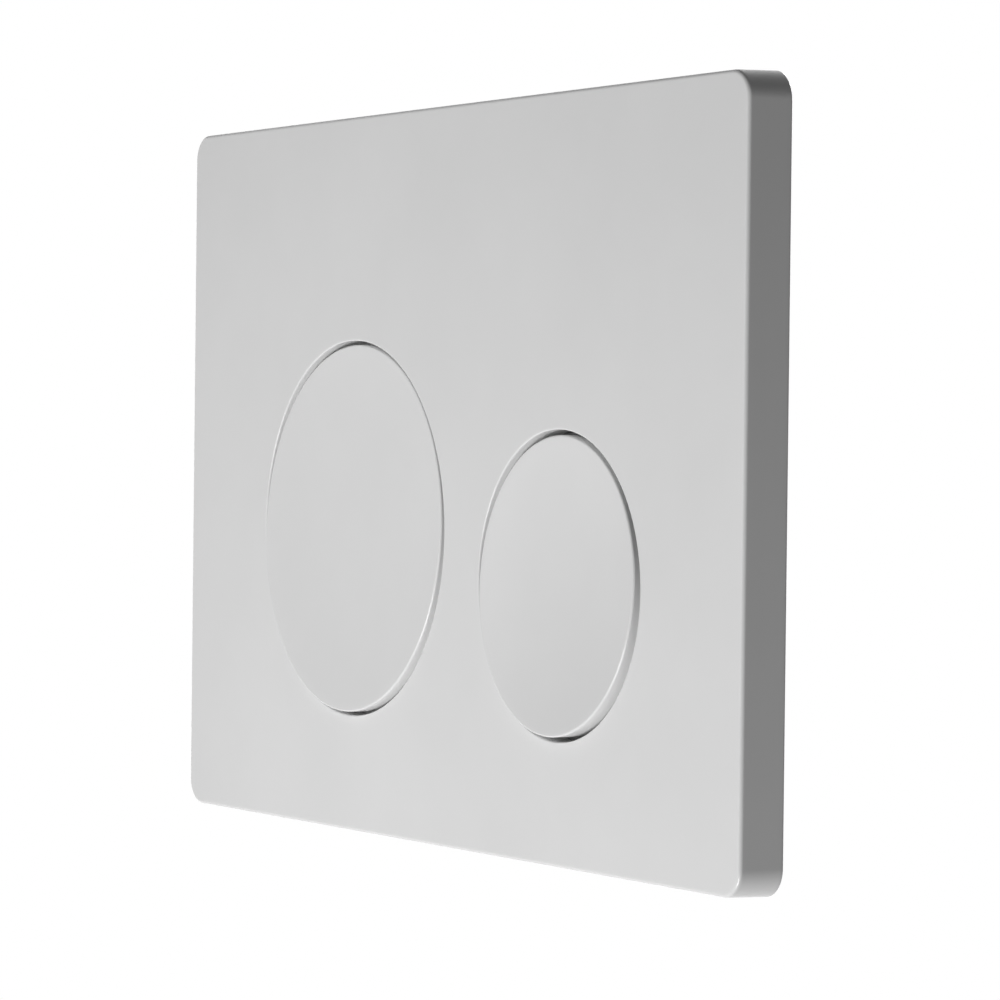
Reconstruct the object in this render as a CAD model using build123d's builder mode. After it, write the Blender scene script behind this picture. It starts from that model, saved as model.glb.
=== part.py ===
from build123d import *
from math import atan2, cos, pi, sin
import os

# Dual flush button plate for a concealed cistern, in millimetres.
# The origin is the middle of the plate on the wall. +X is to the right as seen from the room,
# +Z is up and +Y goes into the wall, so the room side faces -Y.
# A level is a distance out from the wall towards the room, and it is negative behind the wall.

# Cover: a moulded face with a turned rim that stands on the wall
plate_width = 246.0
plate_height = 164.0
plate_depth = 10.2
corner_radius = 6.2
rim_draft = 1.5
face_wall = 2.4
rim_wall = 2.2
front_edge_break = 0.6
cover_rib_wall = 1.4
cover_rib_depth = 3.0
cover_rib_count = 5
cover_rib_pitch = 40.0
cover_rib_rise = 14.0

# Button holes: a pair that stands on one line above the lower edge, a little right of the middle
hole_land = 15.6
pair_shift = 0.95
button_baseline = 26.6
full_hole_radius = 42.95
half_hole_radius = 32.95
collar_wall = 1.6
collar_depth = 3.8

# Buttons: dished cups that run in the collars, with lugs that stop behind them.
# Each face leans back, so its lower edge stands out of the cover and its upper edge is sunk in it.
full_button_gap = 0.9
half_button_gap = 1.1
full_button_proud = 0.4
half_button_proud = 0.7
button_lean_rise = 1.4
button_edge_break = 0.5
button_land = 0.5
dish_depth = 2.2
button_web = 2.1
skirt_wall = 1.8
lug_lip = 1.4
lug_wall = 1.6
lug_width = 16.0
lug_count = 4
plunger_radius = 7.0
button_rib_wall = 1.4
button_rib_depth = 3.6
button_rib_count = 6
press_travel = 4.5

# Mounting frame: a flange on the wall and a tray in the service opening
frame_inset = 7.8
flange_wall = 2.0
flange_corner_cut = 6.0
flange_end = 6.0
tray_side_clearance = 6.95
tray_corner_cut = 6.0
tray_wall = 2.0
floor_wall = 2.0
floor_clearance = 1.5
floor_rib_wall = 1.6
floor_rib_depth = 2.5
window_width = 24.0
window_pitch = 36.0
upper_window_height = 20.0
upper_window_count = 3
middle_window_height = 16.0
lower_window_height = 12.0
row_window_count = 4
lower_window_rise = 14.0
window_margin = 3.0

# Snap hooks that hold the cover on the frame
hook_spread = 160.0
hook_width = 10.0
hook_wall = 2.0
hook_gap = 0.4
hook_barb = 1.2
hook_catch_level = -5.0
hook_tip_level = -9.5

# Rockers and their pins
rocker_width = 22.0
rocker_clearance = 1.0
rocker_eye_radius = 4.5
rocker_beam = 4.0
rocker_tip_beam = 3.0
rocker_tip_overhang = 6.0
rocker_web = 1.8
rocker_side_wall = 2.2
nose_radius = 2.7
rod_nose_radius = 1.0
contact_gap = 0.3
pivot_inset = 7.3
pin_radius = 2.0
pin_clearance = 0.15
ear_wall = 4.0
ear_gap = 0.4
ear_reach = 5.0
ear_bevel = 3.0
ear_base = 12.0

# Return springs
spring_length = 14.5
spring_radius = 6.3
spring_wire_radius = 0.6
spring_turns = 4
spring_turn_steps = 10
spring_seat_gap = 0.1
spring_boss_clearance = 0.9
spring_boss_height = 2.0
spring_boss_wall = 1.8
pot_clearance = 1.3
pot_wall = 1.8

# Push rods with their adjusters and lock nuts
rod_spacing = 49.6
rod_radius = 3.0
rod_tail = 18.0
rod_thread_hold = 12.0
thread_clearance = 0.1
adjuster_radius = 4.0
guide_clearance = 0.3
guide_wall = 2.0
guide_length = 5.6
lock_nut_gap = 2.4
lock_nut_radius = 5.8
lock_nut_wall = 4.0

# Rubber buffer pads under the rocker tips
buffer_width = 8.0
buffer_height = 7.0

# Fixing screws and washers
screw_spacing = 124.0
screw_drop = 18.0
screw_radius = 3.0
screw_neck_radius = 2.4
screw_reach = 12.0
screw_head_radius = 5.8
screw_head_wall = 4.0
washer_width = 17.0
washer_wall = 1.2
screw_hole_clearance = 0.4
screw_hole_length = 14.0

# Places of the buttons
pair_half_width = full_hole_radius + hole_land / 2 + half_hole_radius
full_x = pair_shift - pair_half_width + full_hole_radius
half_x = pair_shift + pair_half_width - half_hole_radius
full_z = -plate_height / 2 + button_baseline + full_hole_radius
half_z = -plate_height / 2 + button_baseline + half_hole_radius

# Levels from the face back to the rockers
face_back = plate_depth - face_wall
web_back = plate_depth + full_button_proud - dish_depth - button_web
collar_back = face_back - collar_depth
lug_back = collar_back - lug_wall
rib_back = web_back - button_rib_depth
rocker_front = min(lug_back, rib_back) - press_travel - rocker_clearance
plunger_tip = rocker_front + nose_radius + contact_gap
pivot_level = rocker_front - rocker_eye_radius
beam_rear = rocker_front - rocker_beam
tip_rear = rocker_front - rocker_tip_beam

# Outline of the frame inside the cover's rim
frame_width = plate_width - 2 * (rim_wall + frame_inset)
frame_height = plate_height - 2 * (rim_wall + frame_inset)
lug_reach_x = pair_half_width + abs(pair_shift) + lug_lip
tray_inner_width = 2 * (lug_reach_x + tray_side_clearance)
tray_width = tray_inner_width + 2 * tray_wall
tray_height = frame_height - 2 * flange_end
tray_inner_height = tray_height - 2 * tray_wall

screw_height = tray_inner_height / 2 - screw_drop

# Lever arms, from each pin to its button's plunger and to its push rod
pivot_x = tray_inner_width / 2 - pivot_inset
rod_x = rod_spacing / 2
rod_z = (full_z + half_z) / 2
rod_arm = pivot_x - rod_x
tip_arm = rod_arm + rocker_tip_overhang
full_arm = pivot_x + full_x
half_arm = pivot_x - half_x

# Levels from the tray floor back to the rods
tip_travel = press_travel * tip_arm / min(full_arm, half_arm)
floor_front = tip_rear - tip_travel - floor_clearance
floor_back = floor_front - floor_wall
spring_seat = beam_rear - spring_length
pot_radius = spring_radius + spring_wire_radius + pot_clearance
rod_top = tip_rear - rod_nose_radius - contact_gap
guide_back = floor_back - guide_length
adjuster_back = guide_back - lock_nut_gap
lock_nut_back = adjuster_back - lock_nut_wall
rod_back = lock_nut_back - rod_tail
washer_front = floor_front + washer_wall
screw_neck_back = floor_back - screw_hole_clearance

os.makedirs("parts", exist_ok=True)


def facing(x, z, level):
    """Plane that faces the room at a level, centred on (x, z)."""
    return Plane(origin=(x, -level, z), x_dir=(1, 0, 0), z_dir=(0, -1, 0))


def section(x, z):
    """Plane through the axis at (x, z) that runs out from the wall: local x is radius, local y level."""
    return Plane(origin=(x, 0, z), x_dir=(1, 0, 0), z_dir=(0, 0, -1))


def outward(x, z):
    """Axis that runs out from the wall at (x, z)."""
    return Axis((x, 0, z), (0, -1, 0))


def beside(start_x, z, towards):
    """Plane across a lever: local x runs from its pin along the lever, local y is the level."""
    return Plane(origin=(start_x, 0, z), x_dir=(towards, 0, 0), z_dir=(0, 0, -towards))


def save(piece, name):
    """Labels a finished piece and writes it."""
    piece.part.label = name
    export_step(piece.part, f"parts/{name}.step")


# Cover plate
button_holes = [(full_x, full_z, full_hole_radius), (half_x, half_z, half_hole_radius)]
cover_rib_z = full_z + full_hole_radius + collar_wall + cover_rib_rise
cover_rib_top = (plate_height - rim_wall) / 2
hook_outer_z = tray_inner_height / 2 - hook_gap
hook_root = face_back + face_wall / 2

with BuildPart() as cover_plate:
    with BuildSketch(facing(0, 0, 0)):
        RectangleRounded(plate_width, plate_height, corner_radius)
    extrude(amount=plate_depth, taper=rim_draft)
    front_edges = cover_plate.faces().sort_by(Axis.Y)[0].edges()
    chamfer(front_edges, front_edge_break)
    with BuildSketch(facing(0, 0, 0)):
        RectangleRounded(
            plate_width - 2 * rim_wall, plate_height - 2 * rim_wall, corner_radius - rim_wall
        )
    extrude(amount=face_back, taper=rim_draft, mode=Mode.SUBTRACT)
    # Each hole runs back through a guide collar
    for x, z, radius in button_holes:
        with BuildSketch(facing(x, z, collar_back)):
            Circle(radius + collar_wall)
        extrude(amount=collar_depth)
        with Locations(facing(x, z, plate_depth)):
            Hole(radius)
    # Stiffening ribs behind the blank upper part
    with BuildSketch(facing(0, 0, face_back - cover_rib_depth)):
        with Locations((0, cover_rib_z)):
            Rectangle(plate_width - rim_wall, cover_rib_wall)
        with Locations((0, (cover_rib_z + cover_rib_top) / 2)):
            with GridLocations(cover_rib_pitch, 0, cover_rib_count, 1):
                Rectangle(cover_rib_wall, cover_rib_top - cover_rib_z)
    extrude(amount=cover_rib_depth)
    # Snap hooks for the frame's windows, above and below
    for hook_x in (-hook_spread / 2, hook_spread / 2):
        with BuildSketch(Plane.YZ.offset(hook_x)):
            with BuildLine():
                Polyline(
                    (-hook_root, hook_outer_z - hook_wall),
                    (-hook_root, hook_outer_z),
                    (-hook_catch_level, hook_outer_z),
                    (-hook_catch_level, hook_outer_z + hook_barb),
                    (-hook_tip_level, hook_outer_z),
                    (-hook_tip_level, hook_outer_z - hook_wall),
                    close=True,
                )
            make_face()
            mirror(about=Plane.XZ)
        extrude(amount=hook_width / 2, both=True)
save(cover_plate, "cover_plate")


def make_button(name, x, z, hole_radius, gap, proud):
    """A dished round cup with ribs, a plunger and lugs that catch behind the collar."""
    radius = hole_radius - gap
    button_front = plate_depth + proud
    dish_rim = radius - button_edge_break - button_land
    inner_radius = radius - skirt_wall
    rib_length = inner_radius - plunger_radius + skirt_wall
    lug_reach = hole_radius + lug_lip - inner_radius
    dish_radius = (dish_rim**2 + dish_depth**2) / (2 * dish_depth)
    lean = atan2(button_lean_rise, radius)
    face = Plane(origin=(x, -button_front, z), x_dir=(1, 0, 0), z_dir=(0, -cos(lean), sin(lean)))
    with BuildPart() as button:
        with BuildSketch(section(x, z)):
            with BuildLine():
                Polyline(
                    (0, button_front + 2 * button_lean_rise),
                    (radius, button_front + 2 * button_lean_rise),
                    (radius, lug_back),
                    (inner_radius, lug_back),
                    (inner_radius, web_back),
                    (0, web_back),
                    close=True,
                )
            make_face()
        revolve(axis=outward(x, z))
        # The leaning face, its broken edge and its dish
        split(bisect_by=face, keep=Keep.BOTTOM)
        chamfer(button.faces().sort_by(Axis.Y)[0].edges(), button_edge_break)
        with Locations(face.offset(dish_radius - dish_depth).origin):
            Sphere(dish_radius, mode=Mode.SUBTRACT)
        with BuildSketch(facing(x, z, plunger_tip)):
            Circle(plunger_radius)
        extrude(amount=web_back - plunger_tip)
        with BuildSketch(facing(x, z, rib_back)):
            with PolarLocations(plunger_radius + (rib_length - skirt_wall) / 2, button_rib_count):
                Rectangle(rib_length, button_rib_wall)
        extrude(amount=button_rib_depth)
        with BuildSketch(facing(x, z, lug_back)):
            with PolarLocations(inner_radius + lug_reach / 2, lug_count, start_angle=90):
                Rectangle(lug_reach, lug_width)
        extrude(amount=lug_wall)
    save(button, name)


make_button("full_flush_button", full_x, full_z, full_hole_radius, full_button_gap, full_button_proud)
make_button("half_flush_button", half_x, half_z, half_hole_radius, half_button_gap, half_button_proud)


# Mounting frame
levers = {
    "full_flush": {"towards": 1, "arm": full_arm, "x": full_x, "z": full_z},
    "half_flush": {"towards": -1, "arm": half_arm, "x": half_x, "z": half_z},
}
guide_radius = adjuster_radius + guide_clearance
pot_outer_radius = pot_radius + pot_wall
pot_back = spring_seat - pot_wall
middle_row_z = (screw_height + full_z) / 2
lower_row_z = lower_window_rise - tray_inner_height / 2
window_rows = [
    (screw_height, upper_window_height, upper_window_count),
    (middle_row_z, middle_window_height, row_window_count),
    (lower_row_z, lower_window_height, row_window_count),
]
floor_rib_rows = [
    (screw_height + middle_row_z) / 2,
    (middle_row_z + full_z) / 2,
    (lower_row_z + half_z) / 2,
]
hook_window_front = hook_catch_level + hook_gap
hook_window_back = hook_tip_level - hook_gap

with BuildPart() as mounting_frame:
    with BuildSketch(facing(0, 0, 0)) as flange:
        Rectangle(frame_width, frame_height)
        chamfer(flange.vertices(), flange_corner_cut)
    extrude(amount=flange_wall)
    with BuildSketch(facing(0, 0, floor_back)) as tray:
        Rectangle(tray_width, tray_height)
        chamfer(tray.vertices(), tray_corner_cut)
    extrude(amount=-floor_back)
    with BuildSketch(facing(0, 0, floor_front)) as tray_hollow:
        Rectangle(tray_inner_width, tray_inner_height)
        chamfer(tray_hollow.vertices(), tray_corner_cut - tray_wall / 2)
    extrude(amount=flange_wall - floor_front, mode=Mode.SUBTRACT)
    # Windows through the floor
    with BuildSketch(facing(0, 0, floor_back)):
        for row_z, row_height, row_count in window_rows:
            with Locations((0, row_z)):
                with GridLocations(window_pitch, 0, row_count, 1):
                    Rectangle(window_width, row_height)
        with Locations((0, rod_z)):
            Rectangle(window_width, window_width)
        for lever in levers.values():
            near_arm = ear_base / 2 + window_margin
            far_arm = lever["arm"] - pot_outer_radius - window_margin
            middle_arm = (near_arm + far_arm) / 2
            with Locations((lever["towards"] * (middle_arm - pivot_x), lever["z"])):
                Rectangle(far_arm - near_arm, rocker_width - 2 * window_margin)
    extrude(amount=floor_wall, mode=Mode.SUBTRACT)
    # Ribs across the back of the floor
    with BuildSketch(facing(0, 0, floor_back - floor_rib_depth)):
        with Locations(*[(0, rib_z) for rib_z in floor_rib_rows]):
            Rectangle(tray_width - 2 * tray_corner_cut, floor_rib_wall)
    extrude(amount=floor_rib_depth)
    # Bearing ears, spring pot and rod guide of each rocker
    for lever in levers.values():
        towards = lever["towards"]
        side_plane = beside(-towards * pivot_x, lever["z"], towards)
        for side in (1, -1):
            with BuildSketch(side_plane.offset(side * (rocker_width / 2 + ear_gap))):
                with BuildLine():
                    Polyline(
                        (-ear_base / 2, floor_front),
                        (ear_base / 2, floor_front),
                        (ear_reach, pivot_level + ear_reach - ear_bevel),
                        (ear_reach - ear_bevel, pivot_level + ear_reach),
                        (ear_bevel - ear_reach, pivot_level + ear_reach),
                        (-ear_reach, pivot_level + ear_reach - ear_bevel),
                        close=True,
                    )
                make_face()
                with Locations((0, pivot_level)):
                    Circle(pin_radius, mode=Mode.SUBTRACT)
            extrude(amount=side * ear_wall)
        with BuildSketch(facing(lever["x"], lever["z"], pot_back)):
            Circle(pot_outer_radius)
        extrude(amount=floor_front - pot_back)
        with BuildSketch(facing(-towards * rod_x, rod_z, guide_back)):
            Circle(guide_radius + guide_wall)
        extrude(amount=floor_front - guide_back)
    # Bores: spring pots, rod guides and slotted screw holes
    for lever in levers.values():
        towards = lever["towards"]
        with BuildSketch(facing(lever["x"], lever["z"], spring_seat)):
            Circle(pot_radius)
        extrude(amount=floor_front - spring_seat, mode=Mode.SUBTRACT)
        with BuildSketch(facing(-towards * rod_x, rod_z, guide_back)):
            Circle(guide_radius)
        extrude(amount=floor_front - guide_back, mode=Mode.SUBTRACT)
    with BuildSketch(facing(0, screw_height, floor_back)):
        with GridLocations(screw_spacing, 0, 2, 1):
            SlotOverall(screw_hole_length, 2 * (screw_radius + screw_hole_clearance), rotation=90)
    extrude(amount=floor_wall, mode=Mode.SUBTRACT)
    # Windows in the tray's upper and lower walls for the cover's hooks
    with Locations((0, -(hook_window_front + hook_window_back) / 2, 0)):
        with Locations(Plane.XZ):
            with GridLocations(hook_spread, tray_height - tray_wall, 2, 2):
                Box(
                    hook_width + 2 * hook_gap,
                    tray_wall,
                    hook_window_front - hook_window_back,
                    mode=Mode.SUBTRACT,
                )
save(mounting_frame, "mounting_frame")


def make_rocker(name, towards, arm, x, z):
    """A lever on its pin, with a nose under the plunger and a nose over the push rod."""
    side_plane = beside(-towards * pivot_x, z, towards)
    seat_half = spring_radius + spring_wire_radius + spring_boss_clearance
    spring_boss_width = 2 * (spring_radius - spring_wire_radius - spring_boss_clearance)
    with BuildPart() as rocker:
        with BuildSketch(side_plane):
            with BuildLine():
                Polyline(
                    (0, rocker_front),
                    (tip_arm, rocker_front),
                    (tip_arm, tip_rear),
                    (arm + seat_half, beam_rear),
                    (arm - seat_half, beam_rear),
                    (0, pivot_level - rocker_eye_radius),
                    close=True,
                )
            make_face()
            with Locations((0, pivot_level)):
                Circle(rocker_eye_radius)
            with Locations((arm, rocker_front)):
                Circle(nose_radius)
            with Locations((rod_arm, tip_rear)):
                Circle(rod_nose_radius)
            with Locations((0, pivot_level)):
                Circle(pin_radius + pin_clearance, mode=Mode.SUBTRACT)
        extrude(amount=rocker_width / 2, both=True)
        # Pocket in the back, between the eye and the spring's seat
        with BuildSketch(side_plane):
            with BuildLine():
                Polyline(
                    (rocker_eye_radius + rocker_web, rocker_front - rocker_web),
                    (arm - seat_half, rocker_front - rocker_web),
                    (arm - seat_half, pivot_level - rocker_eye_radius),
                    (rocker_eye_radius + rocker_web, pivot_level - rocker_eye_radius),
                    close=True,
                )
            make_face()
        extrude(amount=rocker_width / 2 - rocker_side_wall, both=True, mode=Mode.SUBTRACT)
        with BuildSketch(facing(x, z, beam_rear - spring_boss_height)):
            Rectangle(spring_boss_width, spring_boss_wall)
            Rectangle(spring_boss_wall, spring_boss_width)
        extrude(amount=spring_boss_height)
    save(rocker, name)


def make_pin(name, towards, z):
    """A steel dowel pin through the rocker and both ears."""
    half_length = rocker_width / 2 + ear_gap + ear_wall
    with BuildPart() as pin:
        with BuildSketch(beside(-towards * pivot_x, z, towards)):
            with Locations((0, pivot_level)):
                Circle(pin_radius)
        extrude(amount=half_length, both=True)
    save(pin, name)


def make_spring(name, x, z):
    """A coil spring between the pot's floor and the rocker's back."""
    wire_room = spring_wire_radius + spring_seat_gap
    step_rise = (spring_length - 2 * wire_room) / (spring_turns * spring_turn_steps)
    coil_points = []
    for step in range(spring_turns * spring_turn_steps + 1):
        turn = 2 * pi * step / spring_turn_steps
        level = spring_seat + wire_room + step * step_rise
        coil_points.append((x + spring_radius * cos(turn), -level, z + spring_radius * sin(turn)))
    with BuildPart() as spring:
        with BuildLine() as coil:
            Polyline(*coil_points)
        with BuildSketch(Plane(origin=coil.line @ 0, z_dir=coil.line % 0)):
            RegularPolygon(spring_wire_radius, 6)
        sweep(path=coil.line, transition=Transition.RIGHT)
    save(spring, name)


def make_push_rod(prefix, towards):
    """The adjuster that runs in the guide, the rod screwed into it and the nut that locks it."""
    x = -towards * rod_x
    thread_front = adjuster_back + rod_thread_hold
    with BuildPart() as adjuster:
        with BuildSketch(facing(x, rod_z, adjuster_back)):
            Circle(adjuster_radius)
        extrude(amount=rod_top - adjuster_back)
        with BuildSketch(facing(x, rod_z, adjuster_back)):
            Circle(rod_radius + thread_clearance)
        extrude(amount=rod_thread_hold, mode=Mode.SUBTRACT)
    save(adjuster, f"{prefix}_adjuster")

    with BuildPart() as lock_nut:
        with BuildSketch(facing(x, rod_z, lock_nut_back)):
            RegularPolygon(lock_nut_radius, 6)
            Circle(rod_radius + thread_clearance, mode=Mode.SUBTRACT)
        extrude(amount=lock_nut_wall)
    save(lock_nut, f"{prefix}_lock_nut")

    with BuildPart() as push_rod:
        with BuildSketch(facing(x, rod_z, rod_back)):
            Circle(rod_radius)
        extrude(amount=thread_front - rod_back)
    save(push_rod, f"{prefix}_push_rod")


def make_buffer(name, towards, arm, z):
    """A rubber pad on the floor, just clear of the rocker's rod nose at full press."""
    nose_back = tip_rear - rod_nose_radius - press_travel * rod_arm / arm
    buffer_front = nose_back - contact_gap
    with BuildPart() as buffer:
        with BuildSketch(facing(-towards * rod_x, 2 * z - rod_z, floor_front)):
            Rectangle(buffer_width, buffer_height)
        extrude(amount=buffer_front - floor_front)
    save(buffer, name)


for prefix, lever in levers.items():
    towards, arm, x, z = lever["towards"], lever["arm"], lever["x"], lever["z"]
    make_rocker(f"{prefix}_rocker", towards, arm, x, z)
    make_pin(f"{prefix}_rocker_pin", towards, z)
    make_spring(f"{prefix}_spring", x, z)
    make_push_rod(prefix, towards)
    make_buffer(f"{prefix}_buffer", towards, arm, z)


# Fixing screws and their washers, a pair in each node
with BuildPart() as fixing_screws:
    with BuildSketch(facing(0, screw_height, screw_neck_back)):
        with GridLocations(screw_spacing, 0, 2, 1):
            Circle(screw_neck_radius)
    extrude(amount=washer_front - screw_neck_back)
    with BuildSketch(facing(0, screw_height, screw_neck_back - screw_reach)):
        with GridLocations(screw_spacing, 0, 2, 1):
            Circle(screw_radius)
    extrude(amount=screw_reach)
    with BuildSketch(facing(0, screw_height, washer_front)):
        with GridLocations(screw_spacing, 0, 2, 1):
            RegularPolygon(screw_head_radius, 6)
    extrude(amount=screw_head_wall)
save(fixing_screws, "fixing_screws")

with BuildPart() as screw_washers:
    with BuildSketch(facing(0, screw_height, floor_front)):
        with GridLocations(screw_spacing, 0, 2, 1):
            Rectangle(washer_width, washer_width)
            Circle(screw_neck_radius + screw_hole_clearance, mode=Mode.SUBTRACT)
    extrude(amount=washer_wall)
save(screw_washers, "screw_washers")
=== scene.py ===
"""Dual flush button plate for a concealed cistern: fine forms, finishes and studio.

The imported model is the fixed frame, in metres. +X is to the right as seen from the room, +Z is up
and +Y goes into the wall. A level is a distance out from the wall towards the room, in millimetres.
"""

import logging
import math
from dataclasses import dataclass, field, replace
from enum import Enum
from typing import Iterable, Sequence

import bmesh
import bpy
from mathutils import Matrix, Vector


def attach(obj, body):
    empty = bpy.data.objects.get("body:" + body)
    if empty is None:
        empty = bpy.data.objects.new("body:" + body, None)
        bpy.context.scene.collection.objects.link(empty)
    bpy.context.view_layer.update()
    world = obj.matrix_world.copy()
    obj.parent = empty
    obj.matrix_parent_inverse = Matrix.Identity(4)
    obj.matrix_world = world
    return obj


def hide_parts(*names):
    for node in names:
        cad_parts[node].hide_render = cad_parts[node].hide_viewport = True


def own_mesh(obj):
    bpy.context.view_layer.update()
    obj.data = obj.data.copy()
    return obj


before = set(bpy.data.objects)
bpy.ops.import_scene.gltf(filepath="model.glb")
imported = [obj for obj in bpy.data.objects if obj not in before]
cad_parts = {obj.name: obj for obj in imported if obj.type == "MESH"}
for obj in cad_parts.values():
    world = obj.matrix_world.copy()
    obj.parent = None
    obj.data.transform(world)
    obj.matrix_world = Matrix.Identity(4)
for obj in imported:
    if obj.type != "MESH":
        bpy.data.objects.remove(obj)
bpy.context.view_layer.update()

MM = 0.001
IMAGE_SIZE = 1000
SHARP_DEG = 40.0
FLOOR_LEVEL = -1600.0
Place = tuple[float, float, float]
Socket = bpy.types.NodeSocket
Piece = bpy.types.Object
log = logging.getLogger("flush_plate")


def linear(hex_colour: str) -> tuple[float, float, float, float]:
    """Turns an sRGB hex colour into linear RGBA.

    Args:
        hex_colour: Colour such as "#E4E4E4".

    Returns:
        Linear red, green, blue and an alpha of 1.
    """
    parts = [int(hex_colour[i:i + 2], 16) / 255 for i in (1, 3, 5)]
    red, green, blue = (p / 12.92 if p <= 0.04045 else ((p + 0.055) / 1.055) ** 2.4 for p in parts)
    return red, green, blue, 1.0


def per_mm(size_mm: float) -> float:
    """Texture scale at which one feature is size_mm wide."""
    return 1 / (size_mm * MM)


def add_node(tree: bpy.types.NodeTree, kind: str, settings: dict | None = None,
             links: dict | None = None) -> bpy.types.Node:
    """Adds a node with its settings and links.

    Args:
        tree: Shader or geometry tree that gets the node.
        kind: Blender's name of the node type.
        settings: Properties by name, and input values by socket name or number.
        links: Input socket name or number, to the output socket that feeds it.

    Returns:
        The new node.
    """
    node = tree.nodes.new(kind)
    for key, value in (settings or {}).items():
        if isinstance(key, str) and hasattr(node, key):
            setattr(node, key, value)
        else:
            node.inputs[key].default_value = value
    for key, output in (links or {}).items():
        tree.links.new(output, node.inputs[key])
    return node


def even_turns(steps: int) -> list[float]:
    """Angles of one whole turn in even steps."""
    return [2 * math.pi * i / steps for i in range(steps)]


def linked(name: str, data: bpy.types.ID) -> Piece:
    """Puts a new object with its data into the scene.

    Args:
        name: Name of the object.
        data: Its mesh, lamp or camera.

    Returns:
        The new object, at the origin.
    """
    made = bpy.data.objects.new(name, data)
    bpy.context.scene.collection.objects.link(made)
    return made


class Slot(Enum):
    """The record's material slots."""

    GLOSS_WHITE = "gloss_white"
    FRAME = "frame_plastic"
    LEVER = "lever_plastic"
    ADJUSTER = "adjuster_plastic"
    ROD = "rod_plastic"
    STEEL = "steel"
    RUBBER = "rubber"


@dataclass(frozen=True)
class Finish:
    """A surface with two shades that drift into each other and a gloss that varies."""

    name: str
    colour: str
    second_colour: str
    roughness: float
    roughness_swing: float

    def material(self) -> bpy.types.Material:
        """Builds the finish as a node material.

        Returns:
            The material, made once and then reused.
        """
        found = bpy.data.materials.get(self.name)
        if found:
            return found
        made = bpy.data.materials.new(self.name)
        made.use_nodes = True
        tree = made.node_tree
        tree.nodes.clear()
        where = add_node(tree, "ShaderNodeTexCoord").outputs
        surface = self.surface(tree, where["Object"], where["Normal"])
        add_node(tree, "ShaderNodeOutputMaterial", links={"Surface": surface.outputs["BSDF"]})
        return made

    def surface(self, tree: bpy.types.NodeTree, place: Socket, normal: Socket) -> bpy.types.Node:
        """Adds the nodes of one kind of finish.

        Args:
            tree: The material's tree.
            place: Output with the object's own coordinates.
            normal: Output with the object's own normal.

        Returns:
            The surface node.
        """
        raise NotImplementedError

    def skin(self, tree: bpy.types.NodeTree, shades: Socket, streaks: Socket,
             blend: float) -> dict[str, Socket]:
        """Adds the two shades and the gloss.

        Args:
            tree: The material's tree.
            shades: Output that the shades follow.
            streaks: Output that the gloss follows.
            blend: How far each shade lies from the middle of the first output.

        Returns:
            The surface's inputs and the outputs that feed them.
        """
        tone = add_node(tree, "ShaderNodeValToRGB", links={"Fac": shades})
        low, high = tone.color_ramp.elements
        low.position, low.color = 0.5 - blend, linear(self.second_colour)
        high.position, high.color = 0.5 + blend, linear(self.colour)
        gloss = add_node(
            tree, "ShaderNodeMapRange",
            {"To Min": self.roughness - self.roughness_swing,
             "To Max": self.roughness + self.roughness_swing}, {"Value": streaks})
        return {"Base Color": tone.outputs["Color"], "Roughness": gloss.outputs["Result"]}


@dataclass(frozen=True)
class MouldedFinish(Finish):
    """Moulded plastic or rubber: shades where the melt flowed, and a fine relief from the mould.

    A shade tone below 1 paints shade on what faces the front deep in a gap narrower than gap_mm.
    """

    ior: float
    drift_mm: float
    relief_mm: float
    relief_depth_mm: float
    relief_detail: float = 2.0
    gap_mm: float = 4.0
    painted_shade_tone: float = 1.0

    def surface(self, tree: bpy.types.NodeTree, place: Socket, normal: Socket) -> bpy.types.Node:
        """Adds the drift, the relief and any painted shade in gaps.

        Args:
            tree: The material's tree.
            place: Output with the object's own coordinates.
            normal: Output with the object's own normal.

        Returns:
            The surface node.
        """
        drift = add_node(
            tree, "ShaderNodeTexNoise",
            {"Scale": per_mm(self.drift_mm), "Detail": 3.0, "Roughness": 0.55}, {"Vector": place})
        links = self.skin(tree, drift.outputs["Fac"], drift.outputs["Fac"], blend=0.15)
        # Painted shade: the colour is darkened deep in gaps.
        if self.painted_shade_tone < 1:
            links["Base Color"] = self.paint_shade_in_gap(tree, links["Base Color"], normal)
        relief = add_node(
            tree, "ShaderNodeTexNoise",
            {"Scale": per_mm(self.relief_mm), "Detail": self.relief_detail, "Roughness": 0.5},
            {"Vector": place})
        bump = add_node(
            tree, "ShaderNodeBump", {"Strength": 1.0, "Distance": self.relief_depth_mm * MM},
            {"Height": relief.outputs["Fac"]})
        links["Normal"] = bump.outputs["Normal"]
        return add_node(tree, "ShaderNodeBsdfPrincipled", {"IOR": self.ior}, links)

    def paint_shade_in_gap(self, tree: bpy.types.NodeTree, colour: Socket, normal: Socket) -> Socket:
        """Paints shade on what faces the front deep in a gap, darker than the lamps leave it.

        Args:
            tree: The material's tree.
            colour: Output with the colour in the open.
            normal: Output with the object's own normal.

        Returns:
            Output with the colour in the open and with painted shade in gaps.
        """
        # Painted shade from ambient occlusion, on surfaces that face the front.
        light = add_node(
            tree, "ShaderNodeAmbientOcclusion", {"Distance": self.gap_mm * MM, "samples": 8})
        depth = add_node(
            tree, "ShaderNodeMapRange",
            {"From Min": 0.1, "From Max": 0.4, "To Min": self.painted_shade_tone, "To Max": 1.0},
            {"Value": light.outputs["AO"]})
        facing = add_node(
            tree, "ShaderNodeVectorMath", {"operation": "DOT_PRODUCT", 1: (0, -1, 0)}, {0: normal})
        ground = add_node(
            tree, "ShaderNodeMapRange", {"To Min": 1.0},
            {"Value": facing.outputs["Value"], "To Max": depth.outputs["Result"]})
        shade = add_node(
            tree, "ShaderNodeVectorMath", {"operation": "SCALE"},
            {0: colour, "Scale": ground.outputs["Result"]})
        return shade.outputs[0]


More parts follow.
